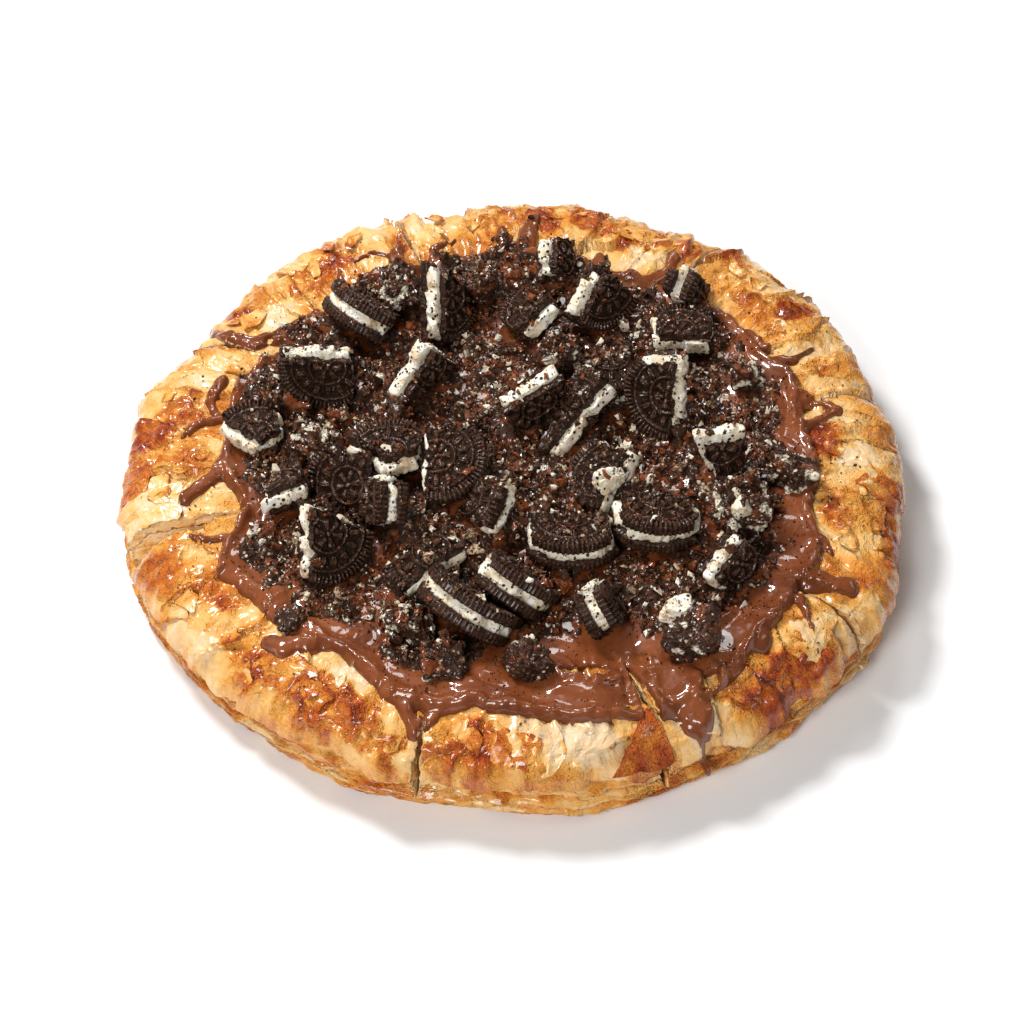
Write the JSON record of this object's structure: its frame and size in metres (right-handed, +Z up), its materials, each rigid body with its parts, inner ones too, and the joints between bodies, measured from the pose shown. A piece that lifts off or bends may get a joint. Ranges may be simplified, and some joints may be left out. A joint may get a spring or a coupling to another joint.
{
  "type": "sweet feteer",
  "caption": "round layered flaky pastry cut into wedges that stay together, topped with chocolate spread, broken sandwich cookies with cream filling, and crumbs",
  "frame": {"origin": "middle of the flat underside of the pastry, on the surface it stands on", "axes": "+Z up through the toppings, -Y towards the front of the pictured view, +X to its right"},
  "size_m": [0.3172, 0.3157, 0.0697],
  "materials": {
    "pastry": "baked, blistered, buttery crust, pale to deep brown",
    "chocolate": "glossy milk chocolate spread with crumbs",
    "cookie": "dry dark cocoa wafer with a pale cream filling",
    "cream": "smooth sweet cream with crumb specks"
  },
  "bodies": {
    "root": {"pastry": "pastry", "chocolate": "chocolate", "cookie_01": "cookie", "cookie_02": "cookie", "cookie_03": "cookie", "cookie_04": "cookie", "cookie_05": "cookie", "cookie_06": "cookie", "cookie_07": "cookie", "cookie_08": "cookie", "cookie_09": "cookie", "cookie_10": "cookie", "cookie_11": "cookie", "cookie_12": "cookie", "cookie_13": "cookie", "cookie_14": "cookie", "cookie_15": "cookie", "cookie_16": "cookie", "cookie_17": "cookie", "cookie_18": "cookie", "cookie_19": "cookie", "cookie_20": "cookie", "cookie_21": "cookie", "cookie_22": "cookie", "cookie_23": "cookie", "cookie_24": "cookie", "cookie_25": "cookie", "cookie_26": "cookie", "cookie_27": "cookie", "cookie_28": "cookie", "cookie_29": "cookie", "cookie_30": "cookie", "lump_01": "cookie", "lump_02": "cookie", "lump_03": "cookie", "lump_04": "cookie", "lump_05": "cookie", "lump_06": "cookie", "lump_07": "cookie", "lump_08": "cookie", "lump_09": "cookie", "lump_10": "cookie", "lump_11": "cookie", "lump_12": "cookie", "lump_13": "cookie", "lump_14": "cookie", "cream_01": "cream", "cream_02": "cream", "cream_03": "cream"}
  },
  "joints": []
}
